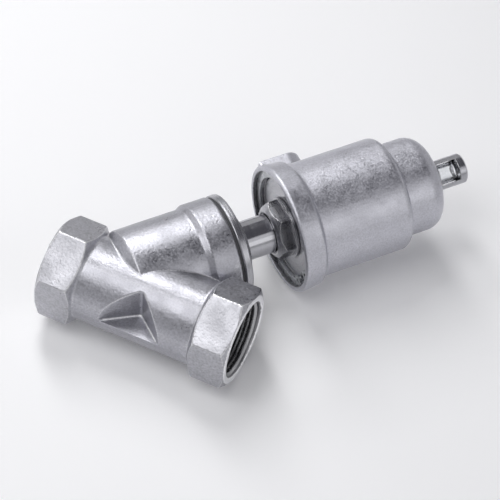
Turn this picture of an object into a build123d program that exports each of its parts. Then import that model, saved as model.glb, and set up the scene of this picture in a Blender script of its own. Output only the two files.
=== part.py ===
from build123d import *
import math
import os

# Angle seat valve with a piston actuator, lying on its side.
# X runs along the pipe from the first turn of the inlet thread, Z is square to the plane of
# pipe and neck.
# Every size is in millimetres. "t" is a distance along the neck axis from the pipe axis.

# Pipe run
seat_angle = 50.0
inlet_leg = 34.0
outlet_leg = 78.0
run_radius = 23.5
passage_radius = 17.0
hex_flats = 50.0
inlet_hex_length = 21.5
outlet_hex_length = 22.5
hex_face_radius = 24.6
hex_chamfer_angle = 30.0
hex_edge_round = 0.6
thread_radius = 20.955
thread_depth = 18.0
mouth_chamfer = 1.2
parting_ridge_height = 0.5
parting_ridge_width = 1.0

# Neck and collar of the body
neck_radius = 27.8
neck_start = 5.5
neck_foot_chamfer = 4.0
collar_start = 47.0
collar_step_length = 3.0
collar_step = 1.6
collar_end = 64.3
collar_edge = 0.8
neck_wall = 5.4

# Seat and the side pocket of the casting
partition = 3.4
pocket_t = 7.0
pocket_offset = 23.7
pocket_slope = 35.5
pocket_apex_round = 2.0
orifice_radius = 15.0
seat_land_width = 3.0
seat_land_height = 2.0

# Stem and plug
stem_radius = 5.0
stem_thread_radius = 4.0
stroke = 14.0
seat_gap = 0.05
seal_thickness = 4.0
seal_radius = 17.6
holder_rim = 1.4
holder_height = 9.0
holder_neck_radius = 9.0
holder_neck_height = 9.0
holder_base = 2.2
washer_thickness = 2.0
washer_radius = 12.0
plug_nut_flats = 13.0
plug_nut_height = 6.5
plug_pin_radius = 1.5

# Bonnet
gasket_thickness = 1.4
gasket_inset = 1.0
gasket_width = 4.6
bonnet_flange = 4.4
bonnet_hex_flats = 34.0
bonnet_hex_height = 4.6
spigot_length = 14.0
spigot_relief_radius = 14.0
spigot_relief_depth = 1.5
bonnet_land = 3.0
packing_ring_height = 2.2
packing_ring_count = 4
scraper_height = 2.0
packing_washer_height = 1.6
packing_spring_wire = 1.6
packing_spring_turns = 4

# Stem tube and hex adapter
tube_radius = 11.0
tube_length = 17.6
tube_shoulder = 1.4
tube_thread_wall = 1.4
tube_thread_length = 6.0
adapter_flats = 29.0
adapter_turn = -36.5
adapter_length = 9.4
adapter_reach = 6.2
adapter_nose_radius = 12.9
adapter_nose_length = 3.7
adapter_gap = 0.9
adapter_recess = 1.5
adapter_collar_radius = 17.0
journal_radius = 10.0
journal_length = 7.4
guide_bush_wall = 2.4
guide_bush_length = 5.0
stem_ring_section = 1.8

# Actuator housing, from its lip to the dome
cylinder_bore = 29.0
wall = 3.1
mouth_step = 4.2
lip_wall = 3.2
lip_round = 1.6
band_length = 12.0
band_taper = 1.4
shoulder_length = 2.0
cylinder_length = 53.5
cylinder_taper = 0.1
step_round = 4.2
rear_radius = 26.5
rear_length = 24.0
dome_round = 10.0
boss_height = 4.9
boss_half_width = 8.5
boss_set_back = 6.5
boss_length = 25.0
boss_round = 0.6
air_port_set_back = 14.7
air_port_radius = 4.86
air_port_depth = 9.0
air_way_radius = 2.5

# Base plate and its retaining ring
plate_set_back = 3.9
plate_thickness = 5.6
plate_clearance = 0.5
plate_rim = 4.9
plate_groove_width = 1.7
plate_groove_depth = 1.4
plate_recess = 0.9
ring_thickness = 1.6
ring_width = 4.3
ring_groove = 1.2
ring_gap_angle = 16.0
ring_ear_radius = 3.1
ring_hole_radius = 1.2
ring_turn = 118.0
o_ring_section = 2.4
clip_thickness = 1.2
clip_radius = 12.6

# Piston, springs and indicator
piston_lift = 10.0
piston_thickness = 8.0
piston_clearance = 0.5
piston_hub_radius = 9.0
piston_hub_drop = 6.0
piston_rim_width = 3.2
piston_rim_height = 4.0
seal_groove_height = 3.0
seal_groove_depth = 2.2
guide_ring_height = 2.6
guide_ring_depth = 1.6
piston_nut_flats = 13.0
piston_nut_height = 6.5
spring_wire = 4.2
spring_turns = 6
spring_seat_thickness = 1.8
spring_seat_inset = 2.1
spring_seat_bore = 15.0
rod_radius = 3.4
rod_socket_radius = 5.6
rod_socket_length = 12.0
rod_play = 0.5

# Indicator cage behind the dome
cage_foot_flats = 17.0
cage_foot_height = 3.9
cage_radius = 8.4
cage_wall = 1.3
cage_window_margin = 0.5
cage_window_height = 12.1
cage_slot_width = 12.0
cage_turn = 36.0
cage_ring_height = 4.5
cage_ring_chamfer = 0.8
cage_spigot_radius = 7.0
cage_spigot_length = 5.2
rear_boss_radius = 11.0
rear_boss_length = 6.0
window_cap = 4.6

# Clearances, and the flats that stand for a round wire inside the valve
running = 0.05
easy = 0.1
apart = 0.3
wire_sides = 8

# Places worked out from the sizes above
inlet_face = -mouth_chamfer
outlet_face = inlet_face + inlet_leg + outlet_leg
inlet_shoulder = inlet_face + inlet_hex_length
outlet_shoulder = outlet_face - outlet_hex_length
cos_a = math.cos(math.radians(seat_angle))
sin_a = math.sin(math.radians(seat_angle))
along = Vector(cos_a, sin_a, 0)
across = Vector(sin_a, -cos_a, 0)
neck_origin = Vector(inlet_face + inlet_leg, 0, 0)
neck_axis = Axis(neck_origin, along)
axial = Plane(origin=neck_origin, x_dir=along, z_dir=(0, 0, 1))
chamber_floor = pocket_t + partition
seat_t = chamber_floor + seat_land_height
collar_radius = neck_radius + collar_step
chamber_radius = neck_radius - neck_wall
gasket_radius = collar_radius - gasket_inset
spigot_radius = chamber_radius - easy
tube_thread_radius = tube_radius - tube_shoulder
tube_bore = tube_thread_radius - tube_thread_wall
packing_radius = tube_bore + apart
flange_bottom = collar_end + gasket_thickness
flange_top = flange_bottom + bonnet_flange
bonnet_top = flange_top + bonnet_hex_height
spigot_bottom = flange_bottom - spigot_length
lip_t = bonnet_top + tube_length + adapter_reach
plate_front = lip_t + plate_set_back
plate_back = plate_front + plate_thickness
adapter_foot_end = plate_front + plate_recess - apart
adapter_front = lip_t - adapter_reach
adapter_hex_end = adapter_front + adapter_length
journal_end = adapter_foot_end + journal_length
piston_bottom = plate_back + piston_lift
piston_top = piston_bottom + piston_thickness
piston_radius = cylinder_bore - piston_clearance
mouth_radius = cylinder_bore + mouth_step
lip_radius = mouth_radius + lip_wall
band_end = lip_t + band_length
band_end_radius = lip_radius - band_taper
housing_radius = cylinder_bore + wall
housing_step = band_end + shoulder_length + cylinder_length
housing_step_radius = housing_radius - cylinder_taper
rear_bore = rear_radius - wall
dome_top = housing_step + rear_length
plate_radius = mouth_radius - plate_clearance
plate_panel_radius = plate_radius - plate_rim
ring_inner_radius = mouth_radius - ring_width
boss_reach = lip_radius + boss_height
air_port_t = lip_t + air_port_set_back
tube_end = adapter_front + adapter_recess


def square_to_pipe(x):
    """Plane square to the pipe axis at x, with its local X along -Y, away from the neck."""
    return Plane(origin=(x, 0, 0), x_dir=(0, -1, 0), z_dir=(1, 0, 0))


def square_to_neck(t):
    """Plane square to the neck axis at t, with its local X along Z."""
    return Plane(origin=neck_origin + along * t, x_dir=(0, 0, 1), z_dir=along)


def ring_outline(t_low, t_high, inner, outer, mode=Mode.ADD):
    """Rectangle in the axial plane, for a ring between two radii."""
    with Locations(((t_low + t_high) / 2, (inner + outer) / 2)):
        return Rectangle(t_high - t_low, outer - inner, mode=mode)


def corner_radius(flats):
    """Radius to the corners of a hexagon with the given width across flats."""
    return flats / 2 / math.cos(math.radians(30))


def chamfer_run(flats, face_radius, angle):
    """Length that a nut chamfer takes along the corners of a hexagon."""
    return (corner_radius(flats) - face_radius) * math.tan(math.radians(angle))


def neck_hexagon(t_low, t_high, flats, low_side=True, high_side=True):
    """Hexagon on the neck axis with the corners of the chosen faces turned off like a nut's."""
    face_radius = flats / 2 - easy
    run = chamfer_run(flats, face_radius, hex_chamfer_angle)
    corner = face_radius + run / math.tan(math.radians(hex_chamfer_angle)) + easy
    outline = [(t_low, 0)]
    outline += [(t_low, face_radius), (t_low + run, corner)] if low_side else [(t_low, corner)]
    outline += [(t_high - run, corner), (t_high, face_radius)] if high_side else [(t_high, corner)]
    outline += [(t_high, 0)]
    with BuildPart() as hexagon:
        with BuildSketch(square_to_neck(t_low)):
            RegularPolygon(flats / 2, 6, major_radius=False)
        extrude(amount=t_high - t_low)
        with BuildSketch(axial):
            with BuildLine():
                Polyline(outline, close=True)
            make_face()
        revolve(axis=neck_axis, mode=Mode.INTERSECT)
    return hexagon.part


def pipe_hexagon(face_x, shoulder_x):
    """Hexagon end of the pipe run, nut-chamfered at the face and coned to the tube behind."""
    inward = 1 if shoulder_x > face_x else -1
    corner = corner_radius(hex_flats)
    face_run = chamfer_run(hex_flats, hex_face_radius, hex_chamfer_angle)
    cone_run = chamfer_run(hex_flats, run_radius, hex_chamfer_angle)
    with BuildPart() as end:
        with BuildSketch(Plane.YZ.offset(min(face_x, shoulder_x))):
            RegularPolygon(hex_flats / 2, 6, major_radius=False, rotation=30)
        extrude(amount=abs(shoulder_x - face_x))
        fillet(end.edges().filter_by(Axis.X), hex_edge_round)
        with BuildSketch(Plane.XY):
            with BuildLine():
                Polyline((face_x, 0), (face_x, hex_face_radius), (face_x + inward * face_run, corner),
                         (shoulder_x - inward * cone_run, corner), (shoulder_x, run_radius),
                         (shoulder_x, 0), close=True)
            make_face()
        revolve(axis=Axis.X, mode=Mode.INTERSECT)
    return end.part


def rim_edges(builder, t, radius):
    """Circular edges of one radius, square to the neck axis at t."""
    centre = neck_origin + along * t
    circles = builder.edges().filter_by(GeomType.CIRCLE)
    near = circles.filter_by(lambda edge: (edge.arc_center - centre).length < easy)
    return near.filter_by(lambda edge: abs(edge.radius - radius) < easy)


def coil(wire_radius, coil_radius, t_low, t_high, turns):
    """Compression spring between two planes square to the neck, its round wire in flats."""
    height = t_high - t_low - 2 * wire_radius
    start = neck_origin + along * (t_low + wire_radius)
    with BuildPart() as spring:
        with BuildLine() as path:
            Helix(pitch=height / turns, height=height, radius=coil_radius, center=start, direction=along)
        with BuildSketch(Plane(origin=path.line @ 0, z_dir=path.line % 0)):
            RegularPolygon(wire_radius, wire_sides)
        sweep(path=path.line, is_frenet=True)
    return spring.part


def o_ring(t, centre_radius, section):
    """Seal ring about the neck axis, its round section in flats."""
    with BuildPart() as ring:
        with BuildSketch(axial):
            with Locations((t, centre_radius)):
                RegularPolygon(section / 2, wire_sides)
        revolve(axis=neck_axis)
    return ring.part


# Valve body: run tube, neck and the two hexagon ends
pocket_apex = neck_origin + along * pocket_t + across * pocket_offset
slope = Vector(-math.cos(math.radians(pocket_slope)), -math.sin(math.radians(pocket_slope)), 0)
pocket_reach = 2 * run_radius

with BuildPart() as inlet_passage:
    with BuildSketch(Plane.YZ):
        Circle(passage_radius)
    extrude(amount=outlet_face)
    split(bisect_by=square_to_neck(chamber_floor - partition), keep=Keep.BOTTOM)
    wall_point = pocket_apex + Vector(slope.Y, -slope.X, 0) * partition
    split(bisect_by=Plane(origin=wall_point, z_dir=(slope.Y, -slope.X, 0)), keep=Keep.TOP)

with BuildPart() as outlet_passage:
    with BuildSketch(Plane.YZ):
        Circle(passage_radius)
    extrude(amount=outlet_face)
    split(bisect_by=square_to_neck(chamber_floor), keep=Keep.TOP)

with BuildPart() as valve_body:
    with BuildSketch(square_to_pipe(inlet_shoulder)):
        Circle(run_radius)
    extrude(amount=outlet_shoulder - inlet_shoulder)
    with BuildSketch(axial):
        with BuildLine():
            Polyline((neck_start, 0), (neck_start, neck_radius - neck_foot_chamfer),
                     (neck_start + neck_foot_chamfer, neck_radius), (collar_start, neck_radius),
                     (collar_start + collar_step_length, collar_radius), (collar_end, collar_radius),
                     (collar_end, 0), close=True)
        make_face()
    revolve(axis=neck_axis)
    mouth_edge = valve_body.edges().filter_by(GeomType.CIRCLE).sort_by(neck_axis)[-1]
    chamfer(mouth_edge, collar_edge)
    add(pipe_hexagon(inlet_face, inlet_shoulder))
    add(pipe_hexagon(outlet_face, outlet_shoulder))
    with BuildSketch(Plane.XZ.offset(run_radius - parting_ridge_height)):
        with Locations(((inlet_shoulder + outlet_shoulder) / 2, 0)):
            Rectangle(outlet_shoulder - inlet_shoulder, parting_ridge_width)
    extrude(amount=2 * parting_ridge_height)
    with BuildSketch(Plane.XY):
        with BuildLine():
            Polyline(tuple(pocket_apex + slope * pocket_reach), tuple(pocket_apex),
                     tuple(pocket_apex + across * pocket_reach), close=True)
        make_face()
        fillet(vertices().sort_by(Axis.Y)[-1], pocket_apex_round)
    extrude(amount=pocket_reach, mode=Mode.SUBTRACT)
    add(inlet_passage.part, mode=Mode.SUBTRACT)
    add(outlet_passage.part, mode=Mode.SUBTRACT)
    with BuildSketch(axial):
        with BuildLine():
            Polyline((chamber_floor - 2 * partition, 0), (chamber_floor - 2 * partition, orifice_radius),
                     (seat_t, orifice_radius), (seat_t, orifice_radius + seat_land_width),
                     (chamber_floor, orifice_radius + seat_land_width), (chamber_floor, chamber_radius),
                     (collar_end, chamber_radius), (collar_end, 0), close=True)
        make_face()
    revolve(axis=neck_axis, mode=Mode.SUBTRACT)
    for face_x, inward in ((inlet_face, 1), (outlet_face, -1)):
        with BuildSketch(Plane.XY):
            with BuildLine():
                Polyline((face_x, 0), (face_x, thread_radius + mouth_chamfer),
                         (face_x + inward * mouth_chamfer, thread_radius),
                         (face_x + inward * thread_depth, thread_radius),
                         (face_x + inward * thread_depth, 0), close=True)
            make_face()
        revolve(axis=Axis.X, mode=Mode.SUBTRACT)

# Gasket, bonnet and stem tube, all fixed to the body
gasket_inner = gasket_radius - gasket_width
with BuildPart() as body_gasket:
    with BuildSketch(axial):
        ring_outline(collar_end, flange_bottom, gasket_inner, gasket_radius)
    revolve(axis=neck_axis)

land_bottom = spigot_bottom + spigot_relief_depth
packing_bottom = land_bottom + bonnet_land
packing_top = packing_bottom + scraper_height + packing_ring_count * packing_ring_height
with BuildPart() as bonnet:
    with BuildSketch(axial):
        with BuildLine():
            Polyline((spigot_bottom, 0), (spigot_bottom, spigot_radius), (flange_bottom, spigot_radius),
                     (flange_bottom, collar_radius), (flange_top, collar_radius), (flange_top, 0),
                     close=True)
        make_face()
    revolve(axis=neck_axis)
    rim = bonnet.edges().filter_by(GeomType.CIRCLE).sort_by(SortBy.RADIUS)[-2:]
    fillet(rim, collar_edge)
    add(neck_hexagon(flange_top, bonnet_top, bonnet_hex_flats, low_side=False))
    with BuildSketch(axial):
        with BuildLine():
            Polyline((spigot_bottom, 0), (spigot_bottom, spigot_relief_radius),
                     (land_bottom, spigot_relief_radius), (land_bottom, stem_radius + apart),
                     (packing_bottom, stem_radius + apart), (packing_bottom, packing_radius),
                     (packing_top, packing_radius), (packing_top, tube_thread_radius + easy),
                     (bonnet_top, tube_thread_radius + easy), (bonnet_top, 0), close=True)
        make_face()
    revolve(axis=neck_axis, mode=Mode.SUBTRACT)

with BuildPart() as scraper_ring:
    with BuildSketch(axial):
        with BuildLine():
            Polyline((packing_bottom, stem_radius + running), (packing_bottom, packing_radius - easy),
                     (packing_bottom + scraper_height, packing_radius - easy),
                     (packing_bottom + scraper_height, stem_radius + 2 * apart),
                     (packing_bottom + scraper_height / 2, stem_radius + running), close=True)
        make_face()
    revolve(axis=neck_axis)

with BuildPart() as packing_rings:
    for index in range(packing_ring_count):
        ring_t = packing_bottom + scraper_height + index * packing_ring_height
        middle = (stem_radius + packing_radius) / 2
        vee = packing_ring_height / 3
        with BuildSketch(axial):
            with BuildLine():
                Polyline((ring_t, stem_radius + running), (ring_t + vee, middle),
                         (ring_t, packing_radius - easy),
                         (ring_t + packing_ring_height - vee - easy, packing_radius - easy),
                         (ring_t + packing_ring_height - easy, middle),
                         (ring_t + packing_ring_height - vee - easy, stem_radius + running), close=True)
            make_face()
        revolve(axis=neck_axis)

with BuildPart() as packing_washer:
    with BuildSketch(axial):
        ring_outline(packing_top, packing_top + packing_washer_height, stem_radius + running,
                     tube_bore - easy)
    revolve(axis=neck_axis)

spring_floor = packing_top + packing_washer_height
tube_step = spring_floor + packing_spring_wire * packing_spring_turns * 2
packing_coil_radius = (stem_radius + tube_bore) / 2
packing_spring = coil(packing_spring_wire / 2, packing_coil_radius, spring_floor, tube_step,
                      packing_spring_turns)

with BuildPart() as stem_tube:
    with BuildSketch(axial):
        with BuildLine():
            Polyline((packing_top, stem_radius + apart), (packing_top, tube_thread_radius),
                     (bonnet_top, tube_thread_radius), (bonnet_top, tube_radius),
                     (tube_end, tube_radius), (tube_end, tube_thread_radius),
                     (tube_end + tube_thread_length, tube_thread_radius),
                     (tube_end + tube_thread_length, stem_radius + apart), close=True)
        make_face()
    revolve(axis=neck_axis)
    outer_edges = stem_tube.edges().filter_by(GeomType.CIRCLE).sort_by(SortBy.RADIUS)[-2:]
    chamfer(outer_edges, 0.5)
    with BuildSketch(axial):
        ring_outline(packing_top, tube_step, 0, tube_bore)
    revolve(axis=neck_axis, mode=Mode.SUBTRACT)

# Hex adapter: screwed on the tube, its journal carries the swivelling actuator
bush_bottom = tube_end + tube_thread_length + easy
bush_radius = stem_radius + guide_bush_wall
seal_centre = stem_radius + running + stem_ring_section / 2
seal_t = bush_bottom + guide_bush_length + stem_ring_section
with BuildPart() as hex_adapter:
    with BuildSketch(square_to_neck(adapter_front)):
        RegularPolygon(adapter_flats / 2, 6, major_radius=False, rotation=adapter_turn)
    extrude(amount=adapter_length)
    with BuildSketch(axial):
        with BuildLine():
            adapter_corner = corner_radius(adapter_flats)
            Polyline((adapter_front, 0), (adapter_front, adapter_nose_radius),
                     (adapter_front + adapter_nose_length, adapter_corner),
                     (adapter_hex_end, adapter_corner), (adapter_hex_end, 0), close=True)
        make_face()
    revolve(axis=neck_axis, mode=Mode.INTERSECT)
    with BuildSketch(axial):
        ring_outline(adapter_hex_end, adapter_foot_end, 0, adapter_collar_radius)
        ring_outline(adapter_foot_end, journal_end, 0, journal_radius)
    revolve(axis=neck_axis)
    clip_low = plate_back + easy
    with BuildSketch(axial):
        ring_outline(clip_low, clip_low + clip_thickness + easy, journal_radius - clip_thickness,
                     journal_radius + easy)
    revolve(axis=neck_axis, mode=Mode.SUBTRACT)
    with BuildSketch(axial):
        with BuildLine():
            Polyline((adapter_front, 0), (adapter_front, tube_radius + adapter_gap),
                     (tube_end, tube_radius + adapter_gap), (tube_end, tube_thread_radius + easy),
                     (bush_bottom, tube_thread_radius + easy), (bush_bottom, bush_radius),
                     (bush_bottom + guide_bush_length, bush_radius),
                     (bush_bottom + guide_bush_length, stem_radius + apart),
                     (journal_end, stem_radius + apart), (journal_end, 0), close=True)
        make_face()
    revolve(axis=neck_axis, mode=Mode.SUBTRACT)
    with BuildSketch(axial):
        ring_outline(seal_t - stem_ring_section / 2 - easy, seal_t + stem_ring_section / 2 + easy, 0,
                     seal_centre + stem_ring_section / 2)
    revolve(axis=neck_axis, mode=Mode.SUBTRACT)

with BuildPart() as guide_bush:
    with BuildSketch(axial):
        ring_outline(bush_bottom, bush_bottom + guide_bush_length, stem_radius + running,
                     bush_radius - running)
    revolve(axis=neck_axis)

stem_seal = o_ring(seal_t, seal_centre, stem_ring_section)

with BuildPart() as adapter_clip:
    with BuildSketch(axial):
        ring_outline(clip_low + easy / 2, clip_low + easy / 2 + clip_thickness,
                     journal_radius - clip_thickness + running, clip_radius)
    revolve(axis=neck_axis, revolution_arc=360 - ring_gap_angle)

# Base plate of the actuator with its seals and the retaining ring
plate_ring_centre = plate_radius + running - o_ring_section / 2
plate_ring_t = plate_front + plate_thickness / 2
swivel_ring_centre = journal_radius + running + o_ring_section / 2
groove_half = o_ring_section / 2 + easy
with BuildPart() as base_plate:
    panel_t = plate_front + plate_recess
    groove_outer = plate_panel_radius + plate_groove_width
    with BuildSketch(axial):
        with BuildLine():
            Polyline((panel_t, journal_radius + running), (panel_t, plate_panel_radius),
                     (plate_front + plate_groove_depth, plate_panel_radius),
                     (plate_front + plate_groove_depth, groove_outer), (plate_front, groove_outer),
                     (plate_front, plate_radius), (plate_back, plate_radius),
                     (plate_back, journal_radius + running), close=True)
        make_face()
    revolve(axis=neck_axis)
    with BuildSketch(axial):
        ring_outline(plate_ring_t - groove_half, plate_ring_t + groove_half,
                     plate_ring_centre - o_ring_section / 2, plate_radius + easy)
        ring_outline(plate_ring_t - groove_half, plate_ring_t + groove_half, 0,
                     swivel_ring_centre + o_ring_section / 2)
    revolve(axis=neck_axis, mode=Mode.SUBTRACT)

plate_seal = o_ring(plate_ring_t, plate_ring_centre, o_ring_section)
swivel_seal = o_ring(plate_ring_t, swivel_ring_centre, o_ring_section)

ring_outer = mouth_radius + ring_groove
ring_plane = square_to_neck(plate_front - ring_thickness)
with BuildPart() as retaining_ring:
    with BuildSketch(ring_plane) as ring_sketch:
        Circle(ring_outer - easy)
        Circle(ring_inner_radius, mode=Mode.SUBTRACT)
        ear_place = ring_inner_radius + ring_ear_radius / 3
        ear_half_angle = ring_gap_angle / 2 + math.degrees(ring_ear_radius / ear_place)
        for side in (-1, 1):
            with PolarLocations(ear_place, 1, start_angle=ring_turn + side * ear_half_angle):
                Circle(ring_ear_radius)
        half_gap = math.radians(ring_gap_angle / 2)
        far = 2 * ring_outer
        with Locations(Location((0, 0, 0), (0, 0, ring_turn))):
            Polygon((0, 0), (far, -far * math.tan(half_gap)), (far, far * math.tan(half_gap)),
                    align=None, mode=Mode.SUBTRACT)
        for side in (-1, 1):
            with PolarLocations(ear_place, 1, start_angle=ring_turn + side * ear_half_angle):
                Circle(ring_hole_radius, mode=Mode.SUBTRACT)
    extrude(amount=ring_thickness)

# Actuator housing: band with rounded lip, long cylinder, rear cylinder with domed end
groove_t = plate_front - ring_thickness
dome_inner_round = dome_round - wall
rear_floor = dome_top - wall
boss_floor = rear_floor - rear_boss_length
spigot_floor = dome_top - cage_spigot_length - easy
rod_seal_t = spigot_floor - stem_ring_section / 2 - easy
rod_seal_centre = rod_radius + running + stem_ring_section / 2
port_plane = Plane(origin=neck_origin, x_dir=along, z_dir=across * -1)
with BuildPart() as housing_cavity:
    with BuildSketch(axial):
        with BuildLine():
            Polyline((lip_t, 0), (lip_t, mouth_radius), (groove_t, mouth_radius), (groove_t, ring_outer),
                     (plate_front, ring_outer), (plate_front, plate_radius + easy),
                     (plate_back, plate_radius + easy), (plate_back, cylinder_bore),
                     (housing_step - wall, cylinder_bore), (housing_step - wall, rear_bore),
                     (rear_floor, rear_bore), (rear_floor, 0), close=True)
        make_face()
    revolve(axis=neck_axis)
    fillet(rim_edges(housing_cavity, rear_floor, rear_bore), dome_inner_round)
    with BuildSketch(axial):
        ring_outline(boss_floor, rear_floor, 0, rear_boss_radius)
    revolve(axis=neck_axis, mode=Mode.SUBTRACT)

with BuildPart() as actuator_housing:
    with BuildSketch(axial):
        with BuildLine():
            Polyline((lip_t, 0), (lip_t, lip_radius), (band_end, band_end_radius),
                     (band_end + shoulder_length, housing_radius), (housing_step, housing_step_radius),
                     (housing_step, rear_radius), (dome_top, rear_radius), (dome_top, 0), close=True)
        make_face()
    revolve(axis=neck_axis)
    fillet(rim_edges(actuator_housing, lip_t, lip_radius), lip_round)
    fillet(rim_edges(actuator_housing, housing_step, housing_step_radius), step_round)
    fillet(rim_edges(actuator_housing, dome_top, rear_radius), dome_round)
    boss_front = lip_t + boss_set_back
    boss_centre = boss_front + boss_length - boss_half_width
    with BuildSketch(port_plane.offset(cylinder_bore)):
        with Locations(((boss_front + boss_centre) / 2, 0)):
            Rectangle(boss_centre - boss_front, 2 * boss_half_width)
        with Locations((boss_centre, 0)):
            Circle(boss_half_width)
    extrude(amount=boss_reach - cylinder_bore)
    boss_top = actuator_housing.faces().sort_by(Axis(neck_origin, across * -1))[-1]
    fillet(boss_top.edges(), boss_round)
    add(housing_cavity.part, mode=Mode.SUBTRACT)
    with BuildSketch(axial):
        ring_outline(boss_floor - easy, rod_seal_t, 0, rod_radius + running)
        ring_outline(rod_seal_t - stem_ring_section / 2, spigot_floor, 0,
                     rod_seal_centre + stem_ring_section / 2)
        ring_outline(spigot_floor, dome_top + easy, 0, cage_spigot_radius + running)
    revolve(axis=neck_axis, mode=Mode.SUBTRACT)
    with BuildSketch(port_plane.offset(boss_reach)):
        with Locations((air_port_t, 0)):
            Circle(air_port_radius)
    extrude(amount=-air_port_depth, mode=Mode.SUBTRACT)
    with BuildSketch(port_plane.offset(boss_reach)):
        with Locations((air_port_t, 0)):
            Circle(air_way_radius)
    extrude(amount=cylinder_bore - boss_reach - wall, mode=Mode.SUBTRACT)

# Piston with its seal, guide ring, washer and nut
seal_low = piston_bottom + seal_groove_depth / 2
guide_low = piston_top - guide_ring_height + easy
hub_bottom = piston_bottom - piston_hub_drop
with BuildPart() as piston:
    with BuildSketch(axial):
        with BuildLine():
            rim_inner = piston_radius - piston_rim_width
            Polyline((hub_bottom, stem_thread_radius + running), (hub_bottom, piston_hub_radius),
                     (piston_bottom, piston_hub_radius), (piston_bottom, piston_radius),
                     (piston_top + piston_rim_height, piston_radius),
                     (piston_top + piston_rim_height, rim_inner), (piston_top, rim_inner),
                     (piston_top, stem_thread_radius + running), close=True)
        make_face()
        ring_outline(seal_low, seal_low + seal_groove_height, piston_radius - seal_groove_depth,
                     piston_radius + easy, mode=Mode.SUBTRACT)
        ring_outline(guide_low, guide_low + guide_ring_height, piston_radius - guide_ring_depth,
                     piston_radius + easy, mode=Mode.SUBTRACT)
    revolve(axis=neck_axis)

with BuildPart() as piston_seal:
    seal_inner = piston_radius - seal_groove_depth + running
    seal_outer = cylinder_bore - running
    seal_top = seal_low + seal_groove_height - running
    lip_depth = seal_groove_height / 2
    seal_middle = (seal_inner + seal_outer) / 2
    with BuildSketch(axial):
        with BuildLine():
            Polyline((seal_low + running, seal_inner), (seal_low + lip_depth, seal_middle),
                     (seal_low + running, seal_outer), (seal_top, seal_outer), (seal_top, seal_inner),
                     close=True)
        make_face()
    revolve(axis=neck_axis)

with BuildPart() as piston_guide_ring:
    with BuildSketch(axial):
        ring_outline(guide_low + running, guide_low + guide_ring_height - running,
                     piston_radius - guide_ring_depth + running, cylinder_bore - running)
    revolve(axis=neck_axis)

piston_washer_top = piston_top + washer_thickness
with BuildPart() as piston_washer:
    with BuildSketch(axial):
        ring_outline(piston_top, piston_washer_top, stem_thread_radius + running, washer_radius)
    revolve(axis=neck_axis)

piston_nut_top = piston_washer_top + piston_nut_height
with BuildPart() as piston_nut:
    add(neck_hexagon(piston_washer_top, piston_nut_top, piston_nut_flats))
    with BuildSketch(axial):
        ring_outline(piston_washer_top, piston_nut_top, 0, stem_thread_radius + running)
    revolve(axis=neck_axis, mode=Mode.SUBTRACT)

# Stem, plug and the soft seal under it
seal_bottom = seat_t + seat_gap
seal_top_t = seal_bottom + seal_thickness
holder_top = seal_top_t + holder_base
cone_top = holder_top + holder_height
hub_top = cone_top + holder_neck_height
plug_washer_low = seal_bottom - washer_thickness
plug_nut_low = plug_washer_low - plug_nut_height
stem_foot = plug_nut_low - 2 * running
stem_top = piston_nut_top + rod_socket_length / 2
with BuildPart() as stem:
    with BuildSketch(axial):
        with BuildLine():
            Polyline((stem_foot, 0), (stem_foot, stem_thread_radius), (holder_top, stem_thread_radius),
                     (holder_top, stem_radius), (hub_bottom, stem_radius),
                     (hub_bottom, stem_thread_radius), (stem_top, stem_thread_radius), (stem_top, 0),
                     close=True)
        make_face()
    revolve(axis=neck_axis)
    chamfer(rim_edges(stem, stem_foot, stem_thread_radius), 0.6)
    chamfer(rim_edges(stem, stem_top, stem_thread_radius), 0.6)
    pin_t = cone_top + holder_neck_height / 2
    with BuildSketch(axial):
        with Locations((pin_t, 0)):
            Circle(plug_pin_radius + running)
    extrude(amount=stem_radius + easy, both=True, mode=Mode.SUBTRACT)

with BuildPart() as plug_holder:
    with BuildSketch(axial):
        with BuildLine():
            rim_low = seal_top_t - seal_thickness * 0.75
            Polyline((rim_low, seal_radius + easy), (rim_low, seal_radius + holder_rim),
                     (holder_top, seal_radius + holder_rim), (cone_top, holder_neck_radius),
                     (hub_top, holder_neck_radius), (hub_top, stem_radius + running),
                     (holder_top, stem_radius + running), (holder_top, stem_thread_radius + running),
                     (seal_top_t, stem_thread_radius + running), (seal_top_t, seal_radius + easy),
                     close=True)
        make_face()
    revolve(axis=neck_axis)
    with BuildSketch(axial):
        with Locations((pin_t, 0)):
            Circle(plug_pin_radius + running)
    extrude(amount=holder_neck_radius + easy, both=True, mode=Mode.SUBTRACT)

with BuildPart() as plug_pin:
    with BuildSketch(axial):
        with Locations((pin_t, 0)):
            Circle(plug_pin_radius)
    extrude(amount=holder_neck_radius - easy, both=True)

with BuildPart() as seat_seal:
    with BuildSketch(axial):
        ring_outline(seal_bottom, seal_top_t, stem_thread_radius + running, seal_radius)
    revolve(axis=neck_axis)

with BuildPart() as seal_washer:
    with BuildSketch(axial):
        ring_outline(plug_washer_low, seal_bottom, stem_thread_radius + running, washer_radius)
    revolve(axis=neck_axis)

with BuildPart() as plug_nut:
    add(neck_hexagon(plug_nut_low, plug_washer_low, plug_nut_flats))
    with BuildSketch(axial):
        ring_outline(plug_nut_low, plug_washer_low, 0, stem_thread_radius + running)
    revolve(axis=neck_axis, mode=Mode.SUBTRACT)

# Return spring and the washer that seats it in the dome
spring_seat_radius = rear_bore - spring_seat_inset
seat_reach = spring_seat_radius + apart - (rear_bore - dome_inner_round)
seat_drop = dome_inner_round - math.sqrt(dome_inner_round ** 2 - seat_reach ** 2)
spring_seat_t = rear_floor - seat_drop - spring_seat_thickness
spring_radius = spring_seat_radius - spring_wire / 2 - easy
return_spring = coil(spring_wire / 2, spring_radius, piston_top, spring_seat_t, spring_turns)

with BuildPart() as spring_seat:
    with BuildSketch(axial):
        ring_outline(spring_seat_t, spring_seat_t + spring_seat_thickness, spring_seat_bore,
                     spring_seat_radius)
    revolve(axis=neck_axis)

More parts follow.
